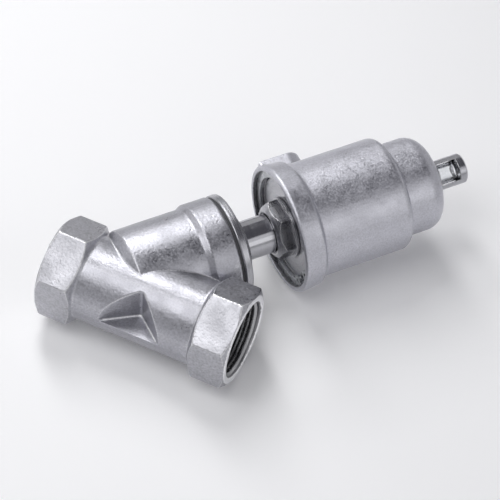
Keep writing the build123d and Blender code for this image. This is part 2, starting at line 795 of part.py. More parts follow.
# Indicator rod and the cage that shows it
sleeve_low = dome_top + cage_foot_height
window_low = sleeve_low + cage_window_margin
window_high = window_low + cage_window_height
cage_end = window_high + cage_ring_height
cage_bore = cage_radius - cage_wall
window_top = cage_end - cage_wall - easy
window_bore_end = window_top - window_cap
rod_tip = window_bore_end - rod_play - stroke
socket_low = piston_nut_top + running
with BuildPart() as indicator_rod:
    with BuildSketch(axial):
        with BuildLine():
            socket_top = socket_low + rod_socket_length
            bore_top = stem_top + running
            Polyline((socket_low, stem_thread_radius + running), (socket_low, rod_socket_radius),
                     (socket_top, rod_socket_radius), (socket_top, rod_radius), (rod_tip, rod_radius),
                     (rod_tip, 0), (bore_top, 0), (bore_top, stem_thread_radius + running), close=True)
        make_face()
    revolve(axis=neck_axis)
    fillet(rim_edges(indicator_rod, rod_tip, rod_radius), rod_radius / 3)

indicator_seal = o_ring(rod_seal_t, rod_seal_centre, stem_ring_section)

with BuildPart() as indicator_cage:
    add(neck_hexagon(dome_top, sleeve_low, cage_foot_flats, low_side=False))
    with BuildSketch(axial):
        ring_outline(dome_top - cage_spigot_length, sleeve_low, 0, cage_spigot_radius)
        ring_outline(sleeve_low, cage_end, 0, cage_radius)
    revolve(axis=neck_axis)
    chamfer(rim_edges(indicator_cage, cage_end, cage_radius), cage_ring_chamfer)
    with BuildSketch(axial):
        ring_outline(dome_top - cage_spigot_length, sleeve_low, 0, rod_radius + apart)
        ring_outline(sleeve_low, cage_end - cage_wall, 0, cage_bore)
        ring_outline(sleeve_low, cage_end, 0, cage_bore - cage_wall)
    revolve(axis=neck_axis, mode=Mode.SUBTRACT)
    with BuildSketch(square_to_neck(window_low)):
        Rectangle(3 * cage_radius, cage_slot_width, rotation=cage_turn)
    extrude(amount=cage_window_height, mode=Mode.SUBTRACT)

with BuildPart() as indicator_window:
    with BuildSketch(axial):
        with BuildLine():
            window_outer = cage_bore - easy
            window_inner = rod_radius + rod_play
            Polyline((sleeve_low + easy, window_inner), (sleeve_low + easy, window_outer),
                     (window_top, window_outer), (window_top, 0), (window_bore_end, 0),
                     (window_bore_end, window_inner), close=True)
        make_face()
    revolve(axis=neck_axis)

# One file for each piece, named as the piece
pieces = {
    "valve_body": valve_body.part,
    "body_gasket": body_gasket.part,
    "bonnet": bonnet.part,
    "scraper_ring": scraper_ring.part,
    "packing_rings": packing_rings.part,
    "packing_washer": packing_washer.part,
    "packing_spring": packing_spring,
    "stem_tube": stem_tube.part,
    "hex_adapter": hex_adapter.part,
    "guide_bush": guide_bush.part,
    "stem_seal": stem_seal,
    "adapter_clip": adapter_clip.part,
    "base_plate": base_plate.part,
    "plate_seal": plate_seal,
    "swivel_seal": swivel_seal,
    "retaining_ring": retaining_ring.part,
    "actuator_housing": actuator_housing.part,
    "return_spring": return_spring,
    "spring_seat": spring_seat.part,
    "indicator_cage": indicator_cage.part,
    "indicator_window": indicator_window.part,
    "indicator_seal": indicator_seal,
    "stem": stem.part,
    "plug_holder": plug_holder.part,
    "plug_pin": plug_pin.part,
    "seat_seal": seat_seal.part,
    "seal_washer": seal_washer.part,
    "plug_nut": plug_nut.part,
    "piston": piston.part,
    "piston_seal": piston_seal.part,
    "piston_guide_ring": piston_guide_ring.part,
    "piston_washer": piston_washer.part,
    "piston_nut": piston_nut.part,
    "indicator_rod": indicator_rod.part,
}
os.makedirs("parts", exist_ok=True)
for name, piece in pieces.items():
    piece.label = name
    export_step(piece, f"parts/{name}.step")
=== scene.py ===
import logging
import math
from dataclasses import dataclass, field
from enum import Enum
from typing import Callable

import bpy
import numpy as np
from mathutils import Matrix, Vector


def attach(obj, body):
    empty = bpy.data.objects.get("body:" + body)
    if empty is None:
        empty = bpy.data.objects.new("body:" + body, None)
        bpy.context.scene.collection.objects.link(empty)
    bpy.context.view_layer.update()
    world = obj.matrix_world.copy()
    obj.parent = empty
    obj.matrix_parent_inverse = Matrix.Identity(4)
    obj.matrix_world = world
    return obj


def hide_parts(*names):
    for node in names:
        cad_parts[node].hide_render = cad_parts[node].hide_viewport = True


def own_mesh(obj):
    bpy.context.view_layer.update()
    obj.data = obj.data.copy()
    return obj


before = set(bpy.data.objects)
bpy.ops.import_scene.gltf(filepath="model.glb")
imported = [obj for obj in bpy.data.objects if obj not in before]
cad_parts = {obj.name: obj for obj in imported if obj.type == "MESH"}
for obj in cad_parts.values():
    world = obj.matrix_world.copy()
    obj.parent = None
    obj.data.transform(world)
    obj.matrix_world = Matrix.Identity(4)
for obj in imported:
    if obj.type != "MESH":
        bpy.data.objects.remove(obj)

log = logging.getLogger("valve")

MM = 0.001
NECK_ANGLE = math.radians(50.0)
NECK_ORIGIN = Vector((0.0328, 0.0, 0.0))
ALONG = Vector((math.cos(NECK_ANGLE), math.sin(NECK_ANGLE), 0.0))

# The two port faces on the pipe axis, in millimetres.
INLET_FACE = -1.2
OUTLET_FACE = 110.8

# Distances below which vertices are one, in metres: in a copied CAD mesh and in a finished piece.
WELD = 0.000002
MERGE = 0.00001

# Sockets of a Mix node that mixes colours.
MIX_SHARE, MIX_FIRST, MIX_SECOND = 0, 6, 7

# Wavelengths of stains, waves and pits as multiples of the grain's.
STAIN_GRAIN, WAVE_GRAIN, PIT_GRAIN = 9.0, 4.0, 5.0

# Where an effect starts and ends: the cosine between rounded and flat normal at an edge and how far the
# smoothing moved a casting's surface in millimetres, both for the painted edge highlight, and the distance
# from a pit's middle.
EDGE_TILT = (0.86, 0.995)
HIGHLIGHT_MOVE = (0.05, 0.14)
PIT_REACH = (0.04, 0.16)

# Near-white that is painted onto edges and creases as a highlight.
EDGE_HIGHLIGHT_COLOUR = (0.95, 0.95, 0.95, 1.0)
WHITE = (1.0, 1.0, 1.0, 1.0)
MADE: dict[str, bpy.types.Material] = {}


class Grain(Enum):
    """The surface textures found on the valve.

    A cast surface gets a painted highlight where its rounding moved it, and a turned one has rings round
    the neck axis.
    """

    CAST = "cast"
    TURNED = "turned"
    SMOOTH = "smooth"


def link(tree: bpy.types.NodeTree, source: bpy.types.NodeSocket, target: bpy.types.NodeSocket) -> None:
    """Joins two sockets of a node tree."""
    tree.links.new(source, target)


def socket_of(node: bpy.types.Node, name: str) -> bpy.types.NodeSocket:
    """Finds the first enabled output socket of that name."""
    return next(s for s in node.outputs if s.name == name and s.enabled)


@dataclass(frozen=True)
class Finish:
    """A metal, plastic or rubber surface.

    Attributes:
        name: Name of the material.
        colour: Base colour.
        roughness: Middle roughness.
        spread: How far the roughness wanders from its middle.
        grain: Which texture the surface has.
        grain_size: Wavelength of the texture in millimetres.
        relief: Height of the texture in millimetres.
        edge_round: Radius to which edges look rounded, in millimetres.
        edge_highlight: How much brighter rubbed edges are.
        mottle: How much the colour wanders.
        metallic: 1 for metal, 0 for plastic and rubber.
        pits: Depth of casting pits in millimetres.
        waves: Height of the broad unevenness of a casting in millimetres.
        alpha: How solid the surface is.
        transmission: How much light passes through.
    """

    name: str
    colour: tuple[float, float, float]
    roughness: float
    spread: float = 0.08
    grain: Grain = Grain.SMOOTH
    grain_size: float = 1.0
    relief: float = 0.02
    edge_round: float = 0.4
    # edge_highlight: How much a painted highlight brightens edges and creases.
    edge_highlight: float = 0.0
    mottle: float = 0.06
    metallic: float = 1.0
    pits: float = 0.0
    waves: float = 0.0
    alpha: float = 1.0
    transmission: float = 0.0

    def _noise(self, tree: bpy.types.NodeTree, vector: bpy.types.NodeSocket, size: float,
               detail: float = 3.0) -> bpy.types.NodeSocket:
        """Adds a noise texture.

        Args:
            tree: Node tree of the material.
            vector: Coordinates that the noise reads.
            size: Wavelength in millimetres.
            detail: Number of finer octaves.

        Returns:
            The noise's grey output.
        """
        noise = tree.nodes.new("ShaderNodeTexNoise")
        noise.inputs["Scale"].default_value = 1.0 / (size * MM)
        noise.inputs["Detail"].default_value = detail
        link(tree, vector, noise.inputs["Vector"])
        return noise.outputs[0]

    def _range(self, tree: bpy.types.NodeTree, value: bpy.types.NodeSocket, low: float, high: float,
               start: float = 0.3, end: float = 0.7) -> bpy.types.NodeSocket:
        """Stretches a value from start and end to low and high."""
        mapped = tree.nodes.new("ShaderNodeMapRange")
        mapped.inputs["From Min"].default_value = start
        mapped.inputs["From Max"].default_value = end
        mapped.inputs["To Min"].default_value = low
        mapped.inputs["To Max"].default_value = high
        link(tree, value, mapped.inputs["Value"])
        return mapped.outputs["Result"]

    def _coordinates(self, tree: bpy.types.NodeTree) -> bpy.types.NodeSocket:
        """Gives object coordinates, or the place along the neck axis and the radius on turned steel."""
        place = tree.nodes.new("ShaderNodeTexCoord")
        if self.grain is not Grain.TURNED:
            return place.outputs["Object"]
        turn = tree.nodes.new("ShaderNodeMapping")
        turn.vector_type = "TEXTURE"
        turn.inputs["Location"].default_value = NECK_ORIGIN
        turn.inputs["Rotation"].default_value = (0.0, 0.0, NECK_ANGLE)
        link(tree, place.outputs["Object"], turn.inputs["Vector"])
        parts = tree.nodes.new("ShaderNodeSeparateXYZ")
        link(tree, turn.outputs["Vector"], parts.inputs[0])
        flat = tree.nodes.new("ShaderNodeCombineXYZ")
        link(tree, parts.outputs["Y"], flat.inputs["Y"])
        link(tree, parts.outputs["Z"], flat.inputs["Z"])
        radius = tree.nodes.new("ShaderNodeVectorMath")
        radius.operation = "LENGTH"
        link(tree, flat.outputs[0], radius.inputs[0])
        rings = tree.nodes.new("ShaderNodeCombineXYZ")
        link(tree, parts.outputs["X"], rings.inputs["X"])
        link(tree, radius.outputs["Value"], rings.inputs["Y"])
        return rings.outputs[0]

    def material(self) -> bpy.types.Material:
        """Builds the material once and returns it."""
        if self.name in MADE:
            return MADE[self.name]
        made = MADE[self.name] = bpy.data.materials.new(self.name)
        made.use_nodes = True
        tree = made.node_tree
        shader = tree.nodes["Principled BSDF"]
        shader.inputs["Metallic"].default_value = self.metallic
        shader.inputs["Alpha"].default_value = self.alpha
        shader.inputs["Transmission Weight"].default_value = self.transmission
        vector = self._coordinates(tree)
        fine = self._noise(tree, vector, self.grain_size)
        broad = self._noise(tree, vector, self.grain_size * STAIN_GRAIN, 2.0)

        rough = self._range(tree, broad, self.roughness - self.spread, self.roughness + self.spread)
        speckle = self._range(tree, fine, -self.spread, self.spread)
        total = tree.nodes.new("ShaderNodeMath")
        total.operation = "ADD"
        total.use_clamp = True
        link(tree, rough, total.inputs[0])
        link(tree, speckle, total.inputs[1])
        link(tree, total.outputs[0], shader.inputs["Roughness"])

        tint = tree.nodes.new("ShaderNodeMix")
        tint.data_type = "RGBA"
        dark = [c * (1.0 - self.mottle) for c in self.colour]
        light = [min(1.0, c * (1.0 + self.mottle)) for c in self.colour]
        tint.inputs[MIX_FIRST].default_value = (*dark, 1.0)
        tint.inputs[MIX_SECOND].default_value = (*light, 1.0)
        link(tree, self._range(tree, fine, 0.0, 1.0), tint.inputs[MIX_SHARE])
        colour = socket_of(tint, "Result")

        rounded = tree.nodes.new("ShaderNodeBevel")
        rounded.samples = 6
        rounded.inputs["Radius"].default_value = self.edge_round * MM
        # Edges and creases get a painted highlight: near-white mixed into the base colour.
        if self.edge_highlight > 0.0:
            share = self._crests(tree) if self.grain is Grain.CAST else self._edges(tree, rounded)
            colour = self._paint_edge_highlight(tree, share, colour)
        link(tree, colour, shader.inputs["Base Color"])

        bump = tree.nodes.new("ShaderNodeBump")
        bump.inputs["Strength"].default_value = 1.0
        bump.inputs["Distance"].default_value = self.relief * MM
        link(tree, fine, bump.inputs["Height"])
        normal = rounded.outputs["Normal"]
        if self.waves > 0.0:
            swell = tree.nodes.new("ShaderNodeBump")
            swell.inputs["Distance"].default_value = self.waves * MM
            link(tree, self._noise(tree, vector, self.grain_size * WAVE_GRAIN, 2.0), swell.inputs["Height"])
            link(tree, normal, swell.inputs["Normal"])
            normal = swell.outputs["Normal"]
        link(tree, normal, bump.inputs["Normal"])
        normal = bump.outputs["Normal"]
        if self.pits > 0.0:
            normal = self._pitted(tree, vector, normal)
        link(tree, normal, shader.inputs["Normal"])
        return made

    def _edges(self, tree: bpy.types.NodeTree, rounded: bpy.types.Node) -> bpy.types.NodeSocket:
        """Finds where a sharp edge is near, for the painted highlight.

        Args:
            tree: Node tree of the material.
            rounded: The bevel node whose normal leans away from the face near an edge.

        Returns:
            A share from 0 on the face to the full painted highlight at the edge.
        """
        face = tree.nodes.new("ShaderNodeNewGeometry")
        same = tree.nodes.new("ShaderNodeVectorMath")
        same.operation = "DOT_PRODUCT"
        link(tree, rounded.outputs["Normal"], same.inputs[0])
        link(tree, face.outputs["Normal"], same.inputs[1])
        return self._range(tree, same.outputs["Value"], self.edge_highlight, 0.0, *EDGE_TILT)

    def _crests(self, tree: bpy.types.NodeTree) -> bpy.types.NodeSocket:
        """Reads where a casting's edges and creases were rounded, as the share of their painted highlight.
        """
        smoothing_move = tree.nodes.new("ShaderNodeAttribute")
        smoothing_move.attribute_name = "smoothing_move"
        return self._range(tree, smoothing_move.outputs["Fac"], 0.0, self.edge_highlight, *HIGHLIGHT_MOVE)

    def _paint_edge_highlight(self, tree: bpy.types.NodeTree, share: bpy.types.NodeSocket,
                colour: bpy.types.NodeSocket) -> bpy.types.NodeSocket:
        """Paints a highlight into the colour where an edge is near.

        Args:
            tree: Node tree of the material.
            share: How near the edge is.
            colour: The colour so far.

        Returns:
            The colour with its painted edge highlights.
        """
        lit = tree.nodes.new("ShaderNodeMix")
        lit.data_type = "RGBA"
        lit.inputs[MIX_SECOND].default_value = EDGE_HIGHLIGHT_COLOUR
        link(tree, share, lit.inputs[MIX_SHARE])
        link(tree, colour, lit.inputs[MIX_FIRST])
        return socket_of(lit, "Result")

    def _pitted(self, tree: bpy.types.NodeTree, vector: bpy.types.NodeSocket,
                normal: bpy.types.NodeSocket) -> bpy.types.NodeSocket:
        """Adds sparse casting pits.

        Args:
            tree: Node tree of the material.
            vector: Coordinates that the pits read.
            normal: The normal so far.

        Returns:
            The normal with the pits in it.
        """
        cells = tree.nodes.new("ShaderNodeTexVoronoi")
        cells.inputs["Scale"].default_value = 1.0 / (self.grain_size * PIT_GRAIN * MM)
        link(tree, vector, cells.inputs["Vector"])
        hole = self._range(tree, cells.outputs["Distance"], 0.0, 1.0, *PIT_REACH)
        dent = tree.nodes.new("ShaderNodeBump")
        dent.inputs["Distance"].default_value = self.pits * MM
        link(tree, hole, dent.inputs["Height"])
        link(tree, normal, dent.inputs["Normal"])
        return dent.outputs["Normal"]


CAST_STEEL = Finish("blasted_casting", (0.415, 0.415, 0.45), 0.40, spread=0.08, grain=Grain.CAST,
                    grain_size=1.1, relief=0.11, edge_round=0.3, edge_highlight=0.9, mottle=0.18, pits=0.05,
                    waves=0.05)
ROUGH_CAST_STEEL = Finish("rough_casting", (0.44, 0.44, 0.47), 0.40, spread=0.10, grain=Grain.CAST,
                          grain_size=1.3, relief=0.20, edge_round=0.3, edge_highlight=0.9, mottle=0.22,
                          waves=0.12)
HOUSING_STEEL = Finish("pressed_housing", (0.54, 0.54, 0.585), 0.42, spread=0.08, grain=Grain.CAST,
                       grain_size=0.9, relief=0.08, edge_round=0.3, edge_highlight=0.9, mottle=0.15, pits=0.05,
                       waves=0.04)
TURNED_STEEL = Finish("bright_turning", (0.40, 0.40, 0.425), 0.26, spread=0.05, grain=Grain.TURNED,
                      grain_size=0.35, relief=0.008, edge_round=0.35, edge_highlight=0.7)
POLISHED_STEEL = Finish("polished_steel", (0.44, 0.44, 0.465), 0.14, spread=0.03, grain=Grain.TURNED,
                        grain_size=0.3, relief=0.003, edge_round=0.3, edge_highlight=0.5)
# The machined port faces; their near-white colour is a painted highlight.
FACED_HIGHLIGHT_STEEL = Finish("faced_steel_highlight", (0.88, 0.88, 0.90), 0.42, spread=0.05, grain_size=0.6, relief=0.01,
                     edge_round=0.3)
# Steel painted dark as shade inside the ports and the actuator's mouth.
SHADED_BORE_STEEL = Finish("bore_painted_shade", (0.20, 0.20, 0.21), 0.30, spread=0.06, grain_size=0.6, relief=0.01,
                    edge_round=0.2)
THREAD_STEEL = Finish("cut_thread", (0.40, 0.40, 0.41), 0.24, spread=0.05, grain_size=0.5, relief=0.008,
                      edge_round=0.15, edge_highlight=0.4)
GRAPHITE = Finish("graphite_gasket", (0.045, 0.045, 0.05), 0.55, grain_size=0.5, relief=0.01, metallic=0.0,
                  edge_round=0.2)
SPRING_STEEL = Finish("spring_wire", (0.42, 0.43, 0.45), 0.28, grain_size=0.5, relief=0.004, edge_round=0.2)
RUBBER = Finish("black_rubber", (0.018, 0.018, 0.019), 0.62, grain_size=0.4, relief=0.01, metallic=0.0,
                edge_round=0.2)
SEAL_PLASTIC = Finish("seal_plastic", (0.80, 0.79, 0.76), 0.42, grain_size=0.6, relief=0.005, metallic=0.0,
                      edge_round=0.2)
BRONZE = Finish("bush_bronze", (0.60, 0.40, 0.20), 0.32, grain=Grain.TURNED, grain_size=0.4, relief=0.005,
                edge_round=0.2)
CLEAR_PLASTIC = Finish("clear_plastic", (0.95, 0.96, 0.97), 0.06, spread=0.02, grain_size=2.0, relief=0.002,
                       metallic=0.0, edge_round=0.2, mottle=0.01, transmission=1.0)
RED_PLASTIC = Finish("indicator_plastic", (0.62, 0.03, 0.02), 0.30, grain_size=0.6, relief=0.004,
                     metallic=0.0, edge_round=0.3)


def dress(finish: Finish, *names: str) -> None:
    """Gives CAD nodes a finish.

    Args:
        finish: The finish.
        names: The nodes' names.
    """
    for name in names:
        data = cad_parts[name].data
        data.materials.clear()
        data.materials.append(finish.material())
        log.info("dressed %s in %s", name, finish.name)


def settle(piece: bpy.types.Object, name: str, finish: Finish, body: str) -> bpy.types.Object:
    """Names a finished piece, puts its place into its mesh and lets it ride on a body.

    Args:
        piece: The modelled object.
        name: Its name.
        finish: Its finish.
        body: The body that it rides on.

    Returns:
        The same piece.
    """
    bpy.ops.object.select_all(action="DESELECT")
    piece.select_set(True)
    bpy.context.view_layer.objects.active = piece
    bpy.ops.object.transform_apply(location=True, rotation=True, scale=True)
    bpy.ops.object.mode_set(mode="EDIT")
    bpy.ops.mesh.select_all(action="SELECT")
    bpy.ops.mesh.remove_doubles(threshold=MERGE)
    bpy.ops.mesh.normals_make_consistent(inside=False)
    bpy.ops.object.mode_set(mode="OBJECT")
    piece.name = name
    piece.data.name = name
    piece.data.materials.clear()
    piece.data.materials.append(finish.material())
    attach(piece, body)
    log.info("made %s with %d faces", name, len(piece.data.polygons))
    return piece


def screw_up(profile: bpy.types.Object, turns: float, rise: float, steps: int, even: bool) -> None:
    """Screws a flat profile along its X axis and closes both ends.

    Args:
        profile: The active object, a face beside the X axis.
        turns: Number of turns.
        rise: How far it climbs on the way, in millimetres.
        steps: Number of steps on the way.
        even: Whether the modifier works the normals out itself.
    """
    screw = profile.modifiers.new("screw", "SCREW")
    screw.axis = "X"
    screw.angle = 2 * math.pi * turns
    screw.screw_offset = rise * MM
    screw.steps = screw.render_steps = steps
    screw.use_normal_calculate = even
    bpy.ops.object.modifier_apply(modifier="screw")
    bpy.ops.object.mode_set(mode="EDIT")
    bpy.ops.mesh.select_all(action="DESELECT")
    bpy.ops.mesh.select_mode(type="EDGE")
    bpy.ops.mesh.select_non_manifold()
    bpy.ops.mesh.edge_face_add()
    bpy.ops.object.mode_set(mode="OBJECT")


@dataclass
class PortThread:
    """The inside thread of one pipe port: a helical ridge on the bore's wall.

    Attributes:
        name: Name of the piece.
        mouth_x: Where the port's face is on the pipe axis, in millimetres.
        inward: 1 where the thread runs towards +X, -1 towards -X.
        root_radius: Radius of the bore's wall.
        crest_radius: Radius of the ridge's crest.
        pitch: Distance between crests.
        turns: Number of turns.
        start: Depth at which the first crest lies.
        steps_per_turn: Number of steps in one turn.
        half_width: Half the tooth's width on the wall, as a share of the pitch.
    """

    name: str
    mouth_x: float
    inward: int
    root_radius: float = 20.955
    crest_radius: float = 19.55
    pitch: float = 2.309
    turns: float = 6.5
    start: float = 1.4
    steps_per_turn: int = 72
    half_width: float = 0.47

    def build(self) -> bpy.types.Object:
        """Models the ridge as a small triangle that is screwed along the pipe axis."""
        bpy.ops.object.select_all(action="DESELECT")
        middle = (self.root_radius + self.crest_radius) / 2
        bpy.ops.mesh.primitive_circle_add(vertices=3, radius=1.0, fill_type="NGON", location=(0, 0, 0))
        tooth = bpy.context.object
        depth = self.root_radius - self.crest_radius
        for corner, (x, z) in zip(tooth.data.vertices, self._profile(depth)):
            corner.co = (x * MM, 0.0, (middle + z) * MM)
        screw_up(tooth, self.turns, self.inward * self.pitch * self.turns,
                 int(self.steps_per_turn * self.turns), even=True)
        tooth.location = ((self.mouth_x + self.inward * self.start) * MM, 0, 0)
        return settle(tooth, self.name, THREAD_STEEL, "valve")

    def _profile(self, depth: float) -> list[tuple[float, float]]:
        """Corners of the tooth around its middle: two on the wall and one at the crest."""
        half = self.pitch * self.half_width
        return [(-half, depth / 2), (half, depth / 2), (0.0, -depth / 2)]


@dataclass(frozen=True)
class Zone:
    """A part of a casting that has a finish of its own.

    Attributes:
        finish: Its finish.
        holds: Tells whether a place, in millimetres, lies in it.
    """

    finish: Finish
    holds: Callable[[Vector], bool]


@dataclass
class Casting:
    """A casting whose edges and creases are rounded, while its machined faces stay sharp.

    Attributes:
        name: Name of the piece.
        node: The CAD node that it stands for.
        body: The body that it rides on.
        slot: The record's material slot; not used.
        finish: Its finish.
        softness: Tells how much a place, in millimetres, may be smoothed.
        zones: Parts with a finish of their own.
        soft_passes: How often the cast surface is smoothed.
        face_limit: How many triangles it may keep.
        cell: Size of the even cells into which it is cut, in millimetres.
    """

    name: str
    node: str
    body: str
    slot: str
    finish: Finish
    softness: Callable[[Vector], float]
    zones: tuple[Zone, ...] = ()
    soft_passes: int = 8
    face_limit: int = 190000
    cell: float = 0.45

    def build(self) -> bpy.types.Object:
        """Copies the CAD solid, cuts it into even cells and rounds what is cast."""
        bpy.ops.object.select_all(action="DESELECT")
        piece = bpy.data.objects.new(self.name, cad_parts[self.node].data.copy())
        bpy.context.scene.collection.objects.link(piece)
        piece.select_set(True)
        bpy.context.view_layer.objects.active = piece
        bpy.ops.object.mode_set(mode="EDIT")
        bpy.ops.mesh.select_all(action="SELECT")
        bpy.ops.mesh.remove_doubles(threshold=WELD)
        bpy.ops.object.mode_set(mode="OBJECT")
        cells = piece.modifiers.new("cells", "REMESH")
        cells.mode = "VOXEL"
        cells.voxel_size = self.cell * MM
        bpy.ops.object.modifier_apply(modifier="cells")
        self._weigh(piece)
        sharp = self._places(piece)
        soft = piece.modifiers.new("soft", "SMOOTH")
        soft.factor = 0.5
        soft.iterations = self.soft_passes
        soft.vertex_group = "cast"
        bpy.ops.object.modifier_apply(modifier="soft")
        moved = np.linalg.norm(self._places(piece) - sharp, axis=1) / MM
        # How far the smoothing moved each vertex; this sets where the painted highlight falls.
        smoothing_move = piece.data.attributes.new("smoothing_move", "FLOAT", "POINT")
        smoothing_move.data.foreach_set("value", moved.astype(np.float32))
        thin = piece.modifiers.new("thin", "DECIMATE")
        thin.ratio = min(1.0, self.face_limit / (2 * len(piece.data.polygons)))
        bpy.ops.object.modifier_apply(modifier="thin")
        piece.vertex_groups.clear()
        bpy.ops.object.shade_smooth_by_angle(angle=math.radians(35.0))
        settle(piece, self.name, self.finish, self.body)
        self._dress_zones(piece)
        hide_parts(self.node)
        return piece

    def _dress_zones(self, piece: bpy.types.Object) -> None:
        """Gives the faces of each zone its finish."""
        for index, zone in enumerate(self.zones, start=1):
            piece.data.materials.append(zone.finish.material())
            for face in piece.data.polygons:
                if zone.holds(face.center / MM):
                    face.material_index = index

    def _places(self, piece: bpy.types.Object) -> np.ndarray:
        """The places of the piece's vertices, one row each, in metres."""
        places = np.zeros(len(piece.data.vertices) * 3)
        piece.data.vertices.foreach_get("co", places)
        return places.reshape(-1, 3)

    def _weigh(self, piece: bpy.types.Object) -> None:
        """Marks in a vertex group how much each place may be smoothed."""
        steps = 20
        groups: dict[int, list[int]] = {}
        for vertex in piece.data.vertices:
            share = round(self.softness(vertex.co / MM) * steps)
            if share > 0:
                groups.setdefault(share, []).append(vertex.index)
        cast = piece.vertex_groups.new(name="cast")
        for share, indices in groups.items():
            cast.add(indices, share / steps, "REPLACE")


def neck_place(place: Vector) -> tuple[float, float]:
    """Finds a place from the neck axis.

    Args:
        place: A point in millimetres.

    Returns:
        How far along the neck axis it lies, and how far off that axis.
    """
    from_neck = place - NECK_ORIGIN / MM
    t = from_neck.dot(ALONG)
    return t, (from_neck - ALONG * t).length


def port_distance(place: Vector) -> float:
    """Distance along the pipe axis to the nearer port's face, in millimetres."""
    return min(abs(place.x - INLET_FACE), abs(place.x - OUTLET_FACE))


def body_softness(place: Vector) -> float:
    """How much the valve body may be smoothed at a place.

    Args:
        place: A point of its surface, in millimetres.

    Returns:
        0 on machined faces, 1 on cast ones, and little on the port faces and the parting ridge.
    """
    t, off_neck = neck_place(place)
    off_pipe = math.hypot(place.y, place.z)
    at_port = port_distance(place)
    on_collar_face = t > 62.5
    in_neck = t > 8.0 and off_neck < 23.0 and place.y > 8.0
    in_thread = off_pipe < 22.6 and at_port < 19.0
    on_ridge = abs(place.z) < 1.4 and off_pipe > 22.4 and at_port > 20.0
    if on_collar_face or in_neck or in_thread:
        return 0.0
    if at_port < 0.6:
        return 0.15
    return 0.3 if on_ridge else 1.0


def housing_softness(place: Vector) -> float:
    """How much the actuator housing may be smoothed at a place.

    Args:
        place: A point of its surface, in millimetres.

    Returns:
        0 on machined faces, 1 on pressed ones.
    """
    t, off_neck = neck_place(place)
    in_open_mouth = off_neck < 34.6 and t < 112.5
    in_cage_hole = off_neck < 12.0
    return 0.0 if in_open_mouth or in_cage_hole else 1.0


def in_hexagon(place: Vector) -> bool:
    """Whether a place lies on the outside of a hexagon end."""
    return port_distance(place) < 20.5 and math.hypot(place.y, place.z) > 23.6


def in_port_face(place: Vector) -> bool:
    """Whether a place lies on the turned face round a port."""
    return port_distance(place) < 0.5 and math.hypot(place.y, place.z) < 25.2


def in_port(place: Vector) -> bool:
    """Whether a place lies inside a port."""
    return 0.5 < port_distance(place) < 19.0 and math.hypot(place.y, place.z) < 22.3


def in_mouth(place: Vector) -> bool:
    """Whether a place lies on the inside of the actuator's mouth."""
    t, off_neck = neck_place(place)
    return 98.9 < t < 108.0 and off_neck < 34.9


@dataclass
class Body:
    """The casting with its two threaded ports."""

    casting: Casting = field(default_factory=lambda: Casting(
        "body_casting", "valve_body", "valve", "cast_steel", CAST_STEEL, body_softness,
        (Zone(ROUGH_CAST_STEEL, in_hexagon), Zone(FACED_HIGHLIGHT_STEEL, in_port_face), Zone(SHADED_BORE_STEEL, in_port))))
    threads: list[PortThread] = field(default_factory=lambda: [
        PortThread("inlet_thread", INLET_FACE, 1),
        PortThread("outlet_thread", OUTLET_FACE, -1),
    ])

    def build(self) -> None:
        """Makes the casting and adds the threads."""
        self.casting.build()
        for thread in self.threads:
            thread.build()


@dataclass
class Bonnet:
    """What closes the neck and carries the actuator."""

    turned: tuple[str, ...] = ("bonnet", "hex_adapter", "packing_washer")
    plastic: tuple[str, ...] = ("scraper_ring", "packing_rings")

    def build(self) -> None:
        """Dresses the bonnet, its packing and the tube."""
        dress(TURNED_STEEL, *self.turned)
        dress(POLISHED_STEEL, "stem_tube")
        dress(GRAPHITE, "body_gasket")
        dress(SEAL_PLASTIC, *self.plastic)
        dress(SPRING_STEEL, "packing_spring", "adapter_clip")
        dress(BRONZE, "guide_bush")
        dress(RUBBER, "stem_seal")


@dataclass
class ReturnSpring:
    """The compression spring behind the piston, which shortens as the stem lifts.

    Attributes:
        wire_radius: Radius of its wire.
        coil_radius: Radius from the neck axis to the middle of the wire.
        piston_end: Where it stands on the piston, along the neck axis.
        fixed_end: Where it stands on its seat.
        turns: Number of turns.
        stroke: How far the stem lifts; not used.
        wire_sides: Number of sides of the wire's round section.
        steps_per_turn: Number of steps in one turn.
    """

    wire_radius: float = 2.1
    coil_radius: float = 19.1
    piston_end: float = 126.0
    fixed_end: float = 182.848
    turns: int = 6
    stroke: float = 14.0
    wire_sides: int = 20
    steps_per_turn: int = 64

    def build(self) -> bpy.types.Object:
        """Screws a round wire along the neck axis."""
        height = self.fixed_end - self.piston_end - 2 * self.wire_radius
        bpy.ops.object.select_all(action="DESELECT")
        bpy.ops.mesh.primitive_circle_add(vertices=self.wire_sides, radius=self.wire_radius * MM,
                                          fill_type="NGON", location=(0, 0, 0),
                                          rotation=(math.pi / 2, 0, 0))
        wire = bpy.context.object
        bpy.ops.object.transform_apply(rotation=True)
        bpy.ops.object.mode_set(mode="EDIT")
        bpy.ops.mesh.select_all(action="SELECT")
        bpy.ops.transform.translate(value=(0, 0, self.coil_radius * MM))
        bpy.ops.object.mode_set(mode="OBJECT")
        screw_up(wire, self.turns, height, self.steps_per_turn * self.turns, even=False)
        wire.rotation_euler = (0, 0, NECK_ANGLE)
        wire.location = NECK_ORIGIN + ALONG * (self.piston_end + self.wire_radius) * MM
        settle(wire, "spring_coil", SPRING_STEEL, "actuator")
        bpy.ops.object.shade_smooth_by_angle(angle=math.radians(40.0))
        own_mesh(wire)
        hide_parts("return_spring")
        return wire


